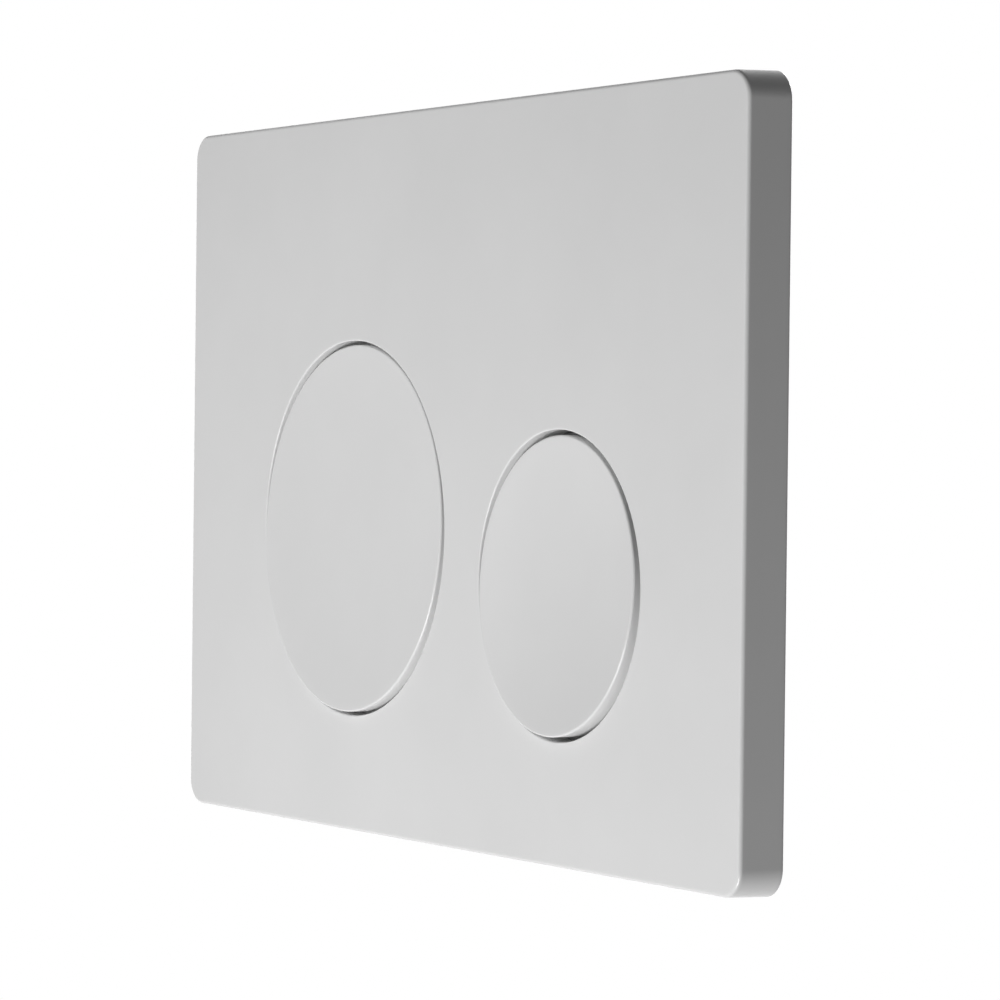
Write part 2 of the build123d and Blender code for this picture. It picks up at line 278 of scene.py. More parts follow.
@dataclass(frozen=True)
class MetalFinish(Finish):
    """Metal with fine lines along one axis and cloudy tones over them."""

    cloud_mm: float
    line_mm: tuple[float, float, float]
    line_depth_mm: float

    def surface(self, tree: bpy.types.NodeTree, place: Socket, normal: Socket) -> bpy.types.Node:
        """Adds the clouds and the lines.

        Args:
            tree: The material's tree.
            place: Output with the object's own coordinates.
            normal: Output with the object's own normal, which metal has no use for.

        Returns:
            The surface node.
        """
        cloud = add_node(
            tree, "ShaderNodeTexNoise",
            {"Scale": per_mm(self.cloud_mm), "Detail": 4.0, "Roughness": 0.6}, {"Vector": place})
        stretched = add_node(
            tree, "ShaderNodeMapping", {"Scale": tuple(per_mm(size) for size in self.line_mm)},
            {"Vector": place})
        lines = add_node(
            tree, "ShaderNodeTexNoise", {"Scale": 1.0, "Detail": 3.0},
            {"Vector": stretched.outputs["Vector"]})
        links = self.skin(tree, cloud.outputs["Fac"], lines.outputs["Fac"], blend=0.2)
        bump = add_node(
            tree, "ShaderNodeBump", {"Strength": 1.0, "Distance": self.line_depth_mm * MM},
            {"Height": lines.outputs["Fac"]})
        links["Normal"] = bump.outputs["Normal"]
        return add_node(tree, "ShaderNodeBsdfPrincipled", {"Metallic": 1.0}, links)


# The relief and the lines of all these finishes are drawn coarser than the real ones, so that they show.

# White ABS from a polished mould: an even, bright skin with a soft sheen. Its orange peel and flow
# shades are finer and fainter than the eye finds, and are drawn just strong enough to show.
POLISHED_ABS = MouldedFinish(
    "polished_white_abs", "#E6E6E6", "#E3E3E3", roughness=0.24, roughness_swing=0.03, ior=1.53,
    drift_mm=45.0, relief_mm=3.0, relief_depth_mm=0.003)
# The same ABS on the half button, with shade painted deep in its wider gap so that it looks black there.
SHADE_PAINTED_GAP_ABS = replace(POLISHED_ABS, name="polished_white_abs_with_deep_gap", painted_shade_tone=0.05)
# ABS from a spark-eroded mould: a matt, slightly grey white whose fine grain breaks every highlight.
GRAINED_ABS = MouldedFinish(
    "grained_grey_abs", "#D9DBDB", "#D2D5D5", roughness=0.52, roughness_swing=0.06, ior=1.53,
    drift_mm=30.0, relief_mm=0.7, relief_depth_mm=0.02)
# Acetal: a cool grey with a waxy half gloss and faint flow shades along the levers.
GREY_ACETAL = MouldedFinish(
    "grey_acetal", "#98A1AB", "#8E97A2", roughness=0.36, roughness_swing=0.05, ior=1.48,
    drift_mm=14.0, relief_mm=1.4, relief_depth_mm=0.006)
# Dyed nylon: a strong blue that marks what the fitter turns, with a soft sheen.
BLUE_NYLON = MouldedFinish(
    "blue_nylon", "#3F6FA8", "#38659C", roughness=0.38, roughness_swing=0.05, ior=1.53,
    drift_mm=6.0, relief_mm=0.6, relief_depth_mm=0.006)
# Natural nylon: milky, a little yellow, with the dull gloss of a moulded thread.
NATURAL_NYLON = MouldedFinish(
    "natural_nylon", "#EDEBE2", "#E3E0D4", roughness=0.42, roughness_swing=0.05, ior=1.53,
    drift_mm=8.0, relief_mm=0.5, relief_depth_mm=0.006)
# Nitrile rubber: nearly black and dull, with a fine open grain.
NITRILE_RUBBER = MouldedFinish(
    "nitrile_rubber", "#232324", "#1C1C1D", roughness=0.8, roughness_swing=0.06, ior=1.5,
    drift_mm=5.0, relief_mm=0.35, relief_depth_mm=0.03)
# Studio paper: an even, matt white with hardly a trace of its fibres.
STUDIO_PAPER = MouldedFinish(
    "studio_paper", "#F2F2F2", "#F0F0F0", roughness=0.8, roughness_swing=0.02, ior=1.45,
    drift_mm=200.0, relief_mm=1.0, relief_depth_mm=0.005)
# Drawn spring wire: bright grey with fine lines left by the die.
SPRING_STEEL = MetalFinish(
    "drawn_spring_steel", "#B9BBBD", "#A4A6A9", roughness=0.28, roughness_swing=0.08,
    cloud_mm=5.0, line_mm=(0.2, 0.6, 0.2), line_depth_mm=0.004)
# Zinc plate: a pale, slightly blue grey with cloudy patches and a soft, blurred shine.
ZINC_STEEL = MetalFinish(
    "zinc_plated_steel", "#C4C9CC", "#AEB4B8", roughness=0.34, roughness_swing=0.07,
    cloud_mm=4.0, line_mm=(0.5, 0.5, 0.5), line_depth_mm=0.004)


@dataclass(frozen=True)
class Axle:
    """A line that turned forms are made round, in millimetres."""

    origin: Vector
    along: Vector
    side: Vector

    def point(self, reach: float, radius: float, turn: float) -> Vector:
        """Point beside the line.

        Args:
            reach: Distance along the line.
            radius: Distance from the line.
            turn: Angle round the line, from its side on.

        Returns:
            The point.
        """
        up = self.along.cross(self.side)
        spoke = self.side * math.cos(turn) + up * math.sin(turn)
        return self.origin + self.along * reach + spoke * radius


def into_wall(x: float, z: float) -> Axle:
    """The line through x and z that runs straight into the wall."""
    return Axle(Vector((x, 0, z)), Vector((0, 1, 0)), Vector((1, 0, 0)))


@dataclass
class MeshWork:
    """A mesh under construction, in millimetres, from rings of points."""

    name: str
    bm: bmesh.types.BMesh = field(default_factory=bmesh.new)

    def ring(self, points: Iterable[Vector]) -> list[bmesh.types.BMVert]:
        """Adds a closed ring of points, given in millimetres."""
        return [self.bm.verts.new(point * MM) for point in points]

    def bridge(self, first: Sequence, second: Sequence) -> None:
        """Joins two rings with quads.

        Args:
            first: Ring of points.
            second: Ring of as many points.
        """
        count = len(first)
        for i in range(count):
            j = (i + 1) % count
            self.bm.faces.new((first[i], first[j], second[j], second[i]))

    def skin(self, rings: Sequence[Sequence]) -> None:
        """Joins each ring to the next."""
        for first, second in zip(rings, rings[1:]):
            self.bridge(first, second)

    def cap(self, ring: Sequence) -> None:
        """Closes a ring with one flat face."""
        self.bm.faces.new(ring)

    def fan(self, ring: Sequence, point: Vector) -> None:
        """Closes a ring with triangles to one point.

        Args:
            ring: Ring to close.
            point: Point that they meet in, in millimetres.
        """
        pole = self.bm.verts.new(point * MM)
        for i, vert in enumerate(ring):
            self.bm.faces.new((vert, ring[(i + 1) % len(ring)], pole))

    def fill(self, rings: Sequence[Sequence], normal: Vector) -> None:
        """Fills a flat area with holes.

        Args:
            rings: The outer ring and the rings of the holes.
            normal: Direction that the area faces.
        """
        self.bm.edges.ensure_lookup_table()
        edges = []
        for ring in rings:
            for i, vert in enumerate(ring):
                edge = self.bm.edges.get((vert, ring[(i + 1) % len(ring)]))
                edges.append(edge or self.bm.edges.new((vert, ring[(i + 1) % len(ring)])))
        bmesh.ops.triangle_fill(self.bm, use_beauty=True, edges=edges, normal=normal)

    def turned(self, axle: Axle, profile: Sequence[tuple[float, float]], steps: int,
               flats: int = 0, flat_radius: float = 0.0) -> list[list]:
        """Turns a profile round a line.

        Args:
            axle: Line to turn round.
            profile: Radius and reach along the line, in order.
            steps: Points per ring.
            flats: Number of flats that cut the form, or none.
            flat_radius: Distance from the line to each flat.

        Returns:
            The rings, in order.
        """
        rings = []
        for radius, reach in profile:
            points = []
            for turn in even_turns(steps):
                size = radius
                if flats:
                    half = math.pi / flats
                    size = min(radius, flat_radius / math.cos((turn + half) % (2 * half) - half))
                points.append(axle.point(reach, size, turn))
            rings.append(self.ring(points))
        self.skin(rings)
        return rings

    def closed(self, axle: Axle, profile: Sequence[tuple[float, float]], steps: int) -> None:
        """Turns a profile round a line and closes both ends.

        Args:
            axle: Line to turn round.
            profile: Radius and reach along the line, in order.
            steps: Points per ring.
        """
        rings = self.turned(axle, profile, steps)
        self.cap(rings[0])
        self.cap(rings[-1])

    def prism(self, section: Sequence[Vector], step: Vector) -> None:
        """Runs a closed section along a step and closes both ends.

        Args:
            section: Its points in order, in millimetres.
            step: Length and direction of the run.
        """
        ends = [self.ring(section), self.ring([point + step for point in section])]
        self.bridge(*ends)
        for end in ends:
            self.cap(end)

    def done(self, material: bpy.types.Material) -> Piece:
        """Turns the work into a smooth, closed object.

        Args:
            material: Finish of the whole piece.

        Returns:
            The new object, at the origin.
        """
        bmesh.ops.recalc_face_normals(self.bm, faces=self.bm.faces)
        mesh = bpy.data.meshes.new(self.name)
        self.bm.to_mesh(mesh)
        self.bm.free()
        mesh.materials.append(material)
        smooth(mesh)
        return linked(self.name, mesh)


def smooth(mesh: bpy.types.Mesh) -> None:
    """Shades a mesh smooth, with its sharper edges kept."""
    mesh.shade_smooth()
    mesh.set_sharp_from_angle(angle=math.radians(SHARP_DEG))


def settled(piece: Piece) -> None:
    """Turns a piece with its modifiers into a plain mesh.

    Args:
        piece: Object whose modifiers are taken up into its mesh.
    """
    graph = bpy.context.evaluated_depsgraph_get()
    mesh = bpy.data.meshes.new_from_object(piece.evaluated_get(graph))
    piece.modifiers.clear()
    old = piece.data
    piece.data = mesh
    bpy.data.meshes.remove(old)
    mesh.name = piece.name


def softened(node: str, name: str, material: bpy.types.Material, edge_mm: float) -> Piece:
    """Copies a packed form and rounds all its edges.

    Args:
        node: CAD node to copy.
        name: Name of the new piece.
        material: Finish of the whole piece.
        edge_mm: Width of the rounding.

    Returns:
        The new object, at the origin.
    """
    weld, clean = 0.001 * MM, 0.002 * MM
    flat, sharp = math.radians(0.5), math.radians(35)
    work = MeshWork(name)
    work.bm.from_mesh(bpy.data.objects[node].data)
    bmesh.ops.remove_doubles(work.bm, verts=work.bm.verts, dist=weld)
    bmesh.ops.dissolve_limit(work.bm, angle_limit=flat, verts=work.bm.verts, edges=work.bm.edges)
    piece = work.done(material)
    for i in reversed(range(1, len(piece.data.materials))):
        piece.data.materials.pop(index=i)
    edges = piece.modifiers.new("edges", "BEVEL")
    edges.width = edge_mm * MM
    edges.segments = 2
    edges.limit_method = "ANGLE"
    edges.angle_limit = sharp
    settled(piece)
    form = bmesh.new()
    form.from_mesh(piece.data)
    bmesh.ops.remove_doubles(form, verts=form.verts, dist=clean)
    bmesh.ops.dissolve_degenerate(form, dist=clean, edges=form.edges)
    form.to_mesh(piece.data)
    form.free()
    shading = piece.modifiers.new("shading", "WEIGHTED_NORMAL")
    shading.weight = 100
    shading.keep_sharp = True
    settled(piece)
    return piece


class Growth:
    """A Geometry Nodes group that grows repeated or winding forms on a base mesh.

    Its inputs are named: whole numbers are counts, names that end in turns are numbers of turns,
    and all others are lengths in millimetres.
    """

    EDGE_STEPS = 3
    COIL_STEPS = 40
    WIRE_SIDES = 12
    THREAD_STEPS = 36
    RIDGE_SIDES = 4

    def __init__(self, name: str, **values: float) -> None:
        """Makes the group with one named input for each value.

        Args:
            name: Name of the group.
            values: Input values by name.
        """
        self.values = values
        self.tree = bpy.data.node_groups.new(name, "GeometryNodeTree")
        face = self.tree.interface
        face.new_socket("base", in_out="INPUT", socket_type="NodeSocketGeometry")
        for key, value in values.items():
            kind = "NodeSocketInt" if isinstance(value, int) else "NodeSocketFloat"
            face.new_socket(key, in_out="INPUT", socket_type=kind)
        face.new_socket("material", in_out="INPUT", socket_type="NodeSocketMaterial")
        face.new_socket("geometry", in_out="OUTPUT", socket_type="NodeSocketGeometry")
        self.given = self.tree.nodes.new("NodeGroupInput").outputs

    def node(self, kind: str, settings: dict | None = None, links: dict | None = None) -> Socket:
        """Adds a geometry node and gives its first output."""
        return add_node(self.tree, "GeometryNode" + kind, settings, links).outputs[0]

    def sum_of(self, operation: str, first: Socket, second: Socket | float) -> Socket:
        """Adds a math node.

        Args:
            operation: Blender's name of the operation.
            first: Output that it works on.
            second: Output or number that it works with.

        Returns:
            The result's output.
        """
        settings, links = {"operation": operation}, {0: first}
        (links if isinstance(second, Socket) else settings)[1] = second
        return add_node(self.tree, "ShaderNodeMath", settings, links).outputs[0]

    def vector(self, **parts: Socket) -> Socket:
        """Makes a vector from outputs named x, y or z; the others stay zero."""
        links = {key.upper(): part for key, part in parts.items()}
        return add_node(self.tree, "ShaderNodeCombineXYZ", links=links).outputs[0]

    def bar(self, kind: str) -> Socket:
        """A bar along +X with rounded long edges.

        Args:
            kind: First part of the inputs' names: start, end, wall, depth and edge.

        Returns:
            The bar's output.
        """
        ends = {part: self.vector(x=self.given[f"{kind}_{part}"]) for part in ("start", "end")}
        line = self.node("CurvePrimitiveLine", links={"Start": ends["start"], "End": ends["end"]})
        section = self.node("CurvePrimitiveQuadrilateral", links={
            "Width": self.given[f"{kind}_depth"], "Height": self.given[f"{kind}_wall"]})
        section = self.node("FilletCurve", {"mode": "POLY", "Count": self.EDGE_STEPS}, {
            "Curve": section, "Radius": self.given[f"{kind}_edge"]})
        return self.node("CurveToMesh", {"Fill Caps": True}, {
            "Curve": line, "Profile Curve": section})

    def around(self, shape: Socket, count: str) -> Socket:
        """Repeats a shape round the line into the wall, from +X on.

        Args:
            shape: Output with the shape.
            count: Name of the input with the number of copies.

        Returns:
            The copies' output.
        """
        points = self.node("MeshLine", {"Offset": (0, 0, 0)}, {"Count": self.given[count]})
        share = self.sum_of("DIVIDE", self.node("InputIndex"), self.given[count])
        turn = self.sum_of("MULTIPLY", share, 2 * math.pi)
        return self.node("InstanceOnPoints", links={
            "Points": points, "Instance": shape, "Rotation": self.vector(y=turn)})

    def along(self, shape: Socket, count: str, first: str, step: str) -> Socket:
        """Repeats a shape along +X.

        Args:
            shape: Output with the shape.
            count: Name of the input with the number of copies.
            first: Name of the input with the first copy's place.
            step: Name of the input with the distance between copies.

        Returns:
            The copies' output.
        """
        points = self.node("MeshLine", links={
            "Count": self.given[count], "Start Location": self.vector(x=self.given[first]),
            "Offset": self.vector(x=self.given[step])})
        return self.node("InstanceOnPoints", links={"Points": points, "Instance": shape})

    def moved(self, shape: Socket, place: Vector = Vector(), turn_deg: Place = (0, 0, 0)) -> Socket:
        """Turns a shape and then moves it, in millimetres."""
        turn = tuple(math.radians(angle) for angle in turn_deg)
        return self.node("Transform", {"Translation": place * MM, "Rotation": turn},
                         {"Geometry": shape})

    def helix(self, kind: str, steps: int) -> Socket:
        """A helix along +Z from inputs for turns, radius and length."""
        radius = self.given[f"{kind}_radius"]
        return self.node("CurveSpiral", {"Resolution": steps}, {
            "Rotations": self.given[f"{kind}_turns"], "Start Radius": radius, "End Radius": radius,
            "Height": self.given[f"{kind}_length"]})

    def coil(self, kind: str, dead_share: float, dead_rise: float) -> Socket:
        """A coil spring along +Z whose end turns lie flat.

        Args:
            kind: First part of the inputs' names: turns, radius, length and wire.
            dead_share: Share of the wire in each flat end.
            dead_rise: Share of the length in each flat end.

        Returns:
            The spring's output.
        """
        share = add_node(self.tree, "GeometryNodeSplineParameter").outputs["Factor"]
        rise = add_node(self.tree, "ShaderNodeFloatCurve", links={"Value": share})
        line = rise.mapping.curves[0].points
        for place in ((dead_share, dead_rise), (1 - dead_share, 1 - dead_rise)):
            line.new(*place)
        for knot in line:
            knot.handle_type = "AUTO_CLAMPED"
        rise.mapping.update()
        lift = self.sum_of("MULTIPLY", rise.outputs[0], self.given[f"{kind}_length"])
        place = add_node(self.tree, "ShaderNodeSeparateXYZ", links={
            0: self.node("InputPosition")}).outputs
        path = self.node("SetPosition", links={
            "Geometry": self.helix(kind, self.COIL_STEPS),
            "Position": self.vector(x=place["X"], y=place["Y"], z=lift)})
        wire = self.node("CurvePrimitiveCircle", {"Resolution": self.WIRE_SIDES}, {
            "Radius": self.given[f"{kind}_wire"]})
        return self.node("CurveToMesh", {"Fill Caps": True}, {"Curve": path, "Profile Curve": wire})

    def thread(self, kind: str) -> Socket:
        """A V thread along +Z.

        Args:
            kind: First part of the inputs' names: turns, radius, length and ridge.

        Returns:
            The thread's output.
        """
        path = self.node("SetCurveNormal", {"mode": "Z_UP"}, {
            "Curve": self.helix(kind, self.THREAD_STEPS)})
        ridge = self.node("CurvePrimitiveCircle", {"Resolution": self.RIDGE_SIDES}, {
            "Radius": self.given[f"{kind}_ridge"]})
        return self.node("CurveToMesh", {"Fill Caps": True}, {"Curve": path, "Profile Curve": ridge})

    def grow(self, piece: Piece, *shapes: Socket) -> None:
        """Joins the shapes to a piece and settles it as a plain mesh.

        Args:
            piece: Object with the base mesh and the material.
            shapes: Outputs that hold the grown forms.
        """
        joined = add_node(self.tree, "GeometryNodeJoinGeometry")
        for shape in (*shapes, self.given["base"]):
            self.tree.links.new(shape, joined.inputs[0])
        whole = self.node("RealizeInstances", links={"Geometry": joined.outputs[0]})
        dressed = self.node("SetMaterial", links={
            "Geometry": whole, "Material": self.given["material"]})
        add_node(self.tree, "NodeGroupOutput", links={0: dressed})
        step = piece.modifiers.new(self.tree.name, "NODES")
        step.node_group = self.tree
        for item in self.tree.interface.items_tree:
            if item.name == "material" and item.in_out == "INPUT":
                step[item.identifier] = piece.data.materials[0]
            if item.name in self.values:
                value = self.values[item.name]
                plain = isinstance(value, int) or item.name.endswith("turns")
                step[item.identifier] = value if plain else value * MM
        settled(piece)
        smooth(piece.data)


def at_level(x: float, z: float, level: float) -> Vector:
    """Point at a level in front of the wall, in millimetres."""
    return Vector((x, -level, z))


def arc(centre: tuple[float, float], radius: float, start_deg: float, end_deg: float,
        steps: int) -> list[tuple[float, float]]:
    """Points along an arc of a profile.

    Args:
        centre: Middle of the arc.
        radius: Its radius.
        start_deg: Angle of its first point.
        end_deg: Angle of its last point.
        steps: Number of steps between the two.

    Returns:
        The points in order, both ends included.
    """
    turns = [math.radians(start_deg + (end_deg - start_deg) * i / steps) for i in range(steps + 1)]
    return [(centre[0] + radius * math.cos(t), centre[1] + radius * math.sin(t)) for t in turns]


def place_piece(piece: Piece, body: str, slot: Slot, *nodes: str) -> Piece:
    """Puts a finished piece on its body, in place of its nodes.

    Args:
        piece: Finished object at the origin.
        body: Body that it moves with.
        slot: Material slot meant for its finish; not used.
        nodes: CAD nodes that it stands for.

    Returns:
        The same piece.
    """
    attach(piece, body)
    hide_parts(*nodes)
    return piece


@dataclass(frozen=True)
class ButtonHole:
    """Place and size of a button's hole in the cover, in millimetres."""

    x: float
    z: float
    radius: float


FULL_HOLE = ButtonHole(x=-39.8, z=-12.45, radius=42.95)
HALF_HOLE = ButtonHole(x=51.7, z=-22.45, radius=32.95)


@dataclass
class CoverPlate:
    """The moulded cover: a face with a turned rim, two collared holes, ribs and hooks."""

    width: float = 246.0
    height: float = 164.0
    depth: float = 10.2
    corner_radius: float = 6.2
    draft_deg: float = 1.5
    edge_radius: float = 0.8
    face_wall: float = 2.4
    rim_wall: float = 2.2
    hole_edge: float = 0.35
    collar_wall: float = 1.6
    collar_back: float = 4.0
    corner_steps: int = 14
    hole_steps: int = 180
    holes: tuple[ButtonHole, ...] = (FULL_HOLE, HALF_HOLE)
    rib_wall: float = 1.4
    rib_depth: float = 3.0
    rib_height: float = 46.1
    rib_count: int = 5
    rib_pitch: float = 40.0
    hook_spread: float = 160.0
    hook_width: float = 10.0
    hook_wall: float = 2.0
    hook_height: float = 63.6
    hook_barb: float = 1.2
    hook_catch: float = -5.0
    hook_tip: float = -9.5

    def outline(self, inset: float, level: float) -> list[Vector]:
        """Rounded rectangle inside the wall outline.

        Args:
            inset: Distance in from the outline.
            level: Level of the ring.

        Returns:
            The ring's points in order.
        """
        radius = self.corner_radius - inset
        points = []
        for side_x, side_z, start in ((1, 1, 0), (-1, 1, 90), (-1, -1, 180), (1, -1, 270)):
            centre = (side_x * (self.width / 2 - self.corner_radius),
                      side_z * (self.height / 2 - self.corner_radius))
            for x, z in arc(centre, radius, start, start + 90, self.corner_steps):
                points.append(at_level(x, z, level))
        return points

    def rim_profile(self) -> list[tuple[float, float]]:
        """Lays out the rim's section.

        Returns:
            Inset and level from the cavity's ceiling, round the rim, to the face.
        """
        slope = math.tan(math.radians(self.draft_deg))
        ceiling = self.depth - self.face_wall
        root, back = 0.8, 0.25
        wall_in = self.rim_wall + slope * ceiling
        centre = self.depth - self.edge_radius
        inner = arc((wall_in + root, ceiling - root), root, 90, 180, 5)
        inner_foot = arc((self.rim_wall - back, back), back, 0, -90, 4)
        outer_foot = arc((back, back), back, -90, -180, 4)
        front_in = slope * centre + self.edge_radius
        front = arc((front_in, centre), self.edge_radius, 180 - self.draft_deg, 90, 10)
        support = 0.4
        low, high = back + support, front[0][1] - support
        wall = [(slope * low, low), (slope * high, high)]
        return ([(inner[0][0] + support, ceiling)] + inner + inner_foot + outer_foot + wall + front
                + [(front[-1][0] + support, self.depth)])

    def hole_profile(self, radius: float) -> list[tuple[float, float]]:
        """Lays out the section of a hole's edge and collar.

        Args:
            radius: Radius of the hole.

        Returns:
            Radius and level from the face, down the hole and round its collar to the ceiling.
        """
        ceiling = self.depth - self.face_wall
        edge, foot, root, support, near = self.hole_edge, 0.25, 0.5, 0.5, 0.2
        outer = radius + self.collar_wall
        front = arc((radius + edge, self.depth - edge), edge, 90, 180, 6)
        inner_foot = arc((radius + foot, self.collar_back + foot), foot, 180, 270, 3)
        outer_foot = arc((outer - foot, self.collar_back + foot), foot, -90, 0, 3)
        top = arc((outer + root, ceiling - root), root, 180, 90, 4)
        bore = [(radius, front[-1][1] - near), (radius, self.collar_back + foot + near)]
        return ([(front[0][0] + support, self.depth)] + front + bore + inner_foot + outer_foot + top
                + [(top[-1][0] + support, ceiling)])

    def build(self) -> Piece:
        """Builds the cover.

        Returns:
            The finished piece.
        """
        work = MeshWork("cover_moulding")
        rim = [work.ring(self.outline(inset, level)) for inset, level in self.rim_profile()]
        work.skin(rim)
        face_rings, ceiling_rings = [rim[-1]], [rim[0]]
        for hole in self.holes:
            rings = []
            for radius, level in self.hole_profile(hole.radius):
                rings.append(work.ring(
                    at_level(hole.x + radius * math.cos(t), hole.z + radius * math.sin(t), level)
                    for t in even_turns(self.hole_steps)))
            work.skin(rings)
            face_rings.append(rings[0])
            ceiling_rings.append(rings[-1])
        work.fill(face_rings, Vector((0, -1, 0)))
        work.fill(ceiling_rings, Vector((0, 1, 0)))
        self.hooks(work)
        piece = work.done(POLISHED_ABS.material())
        self.ribs(piece)
        return place_piece(piece, "plate", Slot.GLOSS_WHITE, "cover_plate")

    def hooks(self, work: MeshWork) -> None:
        """Adds the four snap hooks that catch in the frame's windows.

        Args:
            work: The cover's mesh.
        """
        root, lead, nose, land = self.depth - self.face_wall / 2, 0.5, 0.15, 0.8
        inner, outer = self.hook_height - self.hook_wall, self.hook_height
        catch, tip, barb = self.hook_catch, self.hook_tip, outer + self.hook_barb
        profile = [(root, inner), (root, outer), (catch, outer), (catch, barb - nose),
                   (catch - nose, barb), (catch - land, barb), (tip, outer - lead / 2),
                   (tip, inner + lead), (tip + lead, inner)]
        for x in (-self.hook_spread / 2, self.hook_spread / 2):
            for side in (1, -1):
                work.prism([at_level(x - self.hook_width / 2, side * z, level)
                            for level, z in profile], Vector((self.hook_width, 0, 0)))

    def ribs(self, piece: Piece) -> None:
        """Grows the stiffening ribs behind the blank upper part.

        Args:
            piece: The cover.
        """
        bed, into_rim, edge = 0.4, 0.6, 0.3
        reach = self.width / 2 - self.rim_wall + into_rim
        top = self.height / 2 - self.rim_wall + into_rim
        growth = Growth(
            "cover_ribs", beam_start=-reach, beam_end=reach, beam_wall=self.rib_wall,
            beam_depth=self.rib_depth + bed, beam_edge=edge, post_start=self.rib_height, post_end=top,
            post_wall=self.rib_wall, post_depth=self.rib_depth + bed, post_edge=edge,
            post_count=self.rib_count, post_first=-self.rib_pitch * (self.rib_count - 1) / 2,
            post_step=self.rib_pitch)
        level = self.depth - self.face_wall - self.rib_depth / 2 + bed / 2
        beam = growth.moved(growth.bar("beam"), at_level(0, self.rib_height, level))
        post = growth.moved(growth.bar("post"), turn_deg=(0, -90, 0))
        posts = growth.along(post, "post_count", "post_first", "post_step")
        growth.grow(piece, beam, growth.moved(posts, at_level(0, 0, level)))


@dataclass
class FlushButton:
    """A dished round button, tilted so that its lower edge stands a little out of the cover."""

    name: str
    body: str
    node: str
    hole: ButtonHole
    gap: float
    middle_proud: float
    side_rise: float
    finish: MouldedFinish
    tilt_rise: float = 1.375
    cover_depth: float = 10.2
    dish_depth: float = 2.2
    edge_radius: float = 0.45
    edge_steps: int = 10
    web_back: float = 6.3
    skirt_wall: float = 1.8
    skirt_back: float = 2.4
    plunger_radius: float = 7.0
    plunger_tip: float = -0.1
    rib_count: int = 6
    rib_wall: float = 1.4
    rib_back: float = 2.7
    lug_count: int = 4
    lug_width: float = 22.0
    lug_wall: float = 1.45
    lug_front: float = 3.95
    lug_lip: float = 1.4
    lip_reach: float = 2.6
    lip_wall: float = 1.0
    steps: int = 180
    dish_rings: int = 24

    def profile(self) -> list[tuple[float, float, float]]:
        """Lays out the button's section.

        Returns:
            Radius, level and share of the tilt, from the dish to the plunger's tip.
        """
        radius = self.hole.radius - self.gap
        front = self.cover_depth + self.middle_proud
        land = radius - self.edge_radius
        ball = (land ** 2 + self.dish_depth ** 2) / (2 * self.dish_depth)
        slope = math.degrees(math.asin(land / ball))
        points = []
        for i in range(1, self.dish_rings + 1):
            r = land * i / self.dish_rings
            points.append((r, front - self.dish_depth + ball - math.sqrt(ball ** 2 - r ** 2), 1.0))
        crest = arc((0, 0), self.edge_radius, 90 + slope, 0, self.edge_steps)
        for r, level in crest[1:]:
            points.append((land - crest[0][0] + r, front - crest[0][1] + level, 1.0))
        widest = max(p[0] for p in points)
        points = [(r * radius / widest, level, tilt) for r, level, tilt in points]
        foot, root = 0.3, 0.6
        inner = radius - self.skirt_wall
        lip = self.hole.radius + self.lip_reach
        lip_front = self.skirt_back + self.lip_wall
        stem = self.plunger_radius
        # Centre, radius, first and last angle and steps of each bend, from the lip to the plunger.
        bends = (
            ((radius + foot, lip_front + foot), foot, 180, 270, 3),
            ((lip - foot, lip_front - foot), foot, 90, 0, 3),
            ((lip - foot, self.skirt_back + foot), foot, 0, -90, 3),
            ((inner + foot, self.skirt_back + foot), foot, -90, -180, 3),
            ((inner - root, self.web_back - root), root, 0, 90, 4),
            ((stem + root, self.web_back - root), root, 90, 180, 4),
            ((stem - root, self.plunger_tip + root), root, 0, -90, 4))
        for bend in bends:
            points += [(r, level, 0.0) for r, level in arc(*bend)]
        return points

    def build(self) -> Piece:
        """Builds the button.

        Returns:
            The finished piece.
        """
        work = MeshWork(self.name)
        hole, rim = self.hole, self.hole.radius - self.gap
        rings = []
        for radius, level, tilt in self.profile():
            points = []
            for turn in even_turns(self.steps):
                across, up = radius * math.cos(turn), radius * math.sin(turn)
                lean = (self.side_rise * across - self.tilt_rise * up) / rim
                points.append(at_level(hole.x + across, hole.z + up, level + tilt * lean))
            rings.append(work.ring(points))
        work.skin(rings)
        front = self.cover_depth + self.middle_proud - self.dish_depth
        work.fan(rings[0], at_level(hole.x, hole.z, front))
        work.cap(rings[-1])
        piece = work.done(self.finish.material())
        self.ribs_and_lugs(piece)
        return place_piece(piece, self.body, Slot.GLOSS_WHITE, self.node)

    def ribs_and_lugs(self, piece: Piece) -> None:
        """Grows the ribs from plunger to skirt and the lugs that catch behind the collar.

        Args:
            piece: The button.
        """
        bed, edge = 0.5, 0.3
        inner = self.hole.radius - self.gap - self.skirt_wall
        growth = Growth(
            self.name + "_ribs", rib_start=self.plunger_radius - bed, rib_end=inner + bed,
            rib_wall=self.rib_wall, rib_depth=self.web_back - self.rib_back + bed, rib_edge=edge,
            rib_count=self.rib_count, lug_start=inner + bed, lug_end=self.hole.radius + self.lug_lip,
            lug_wall=self.lug_width, lug_depth=self.lug_wall, lug_edge=edge, lug_count=self.lug_count)
        rib_level = (self.web_back + bed + self.rib_back) / 2
        lug_level = self.lug_front - self.lug_wall / 2
        ribs = growth.around(growth.bar("rib"), "rib_count")
        lugs = growth.around(growth.bar("lug"), "lug_count")
        growth.grow(piece, growth.moved(ribs, at_level(self.hole.x, self.hole.z, rib_level)),
                    growth.moved(lugs, at_level(self.hole.x, self.hole.z, lug_level)))


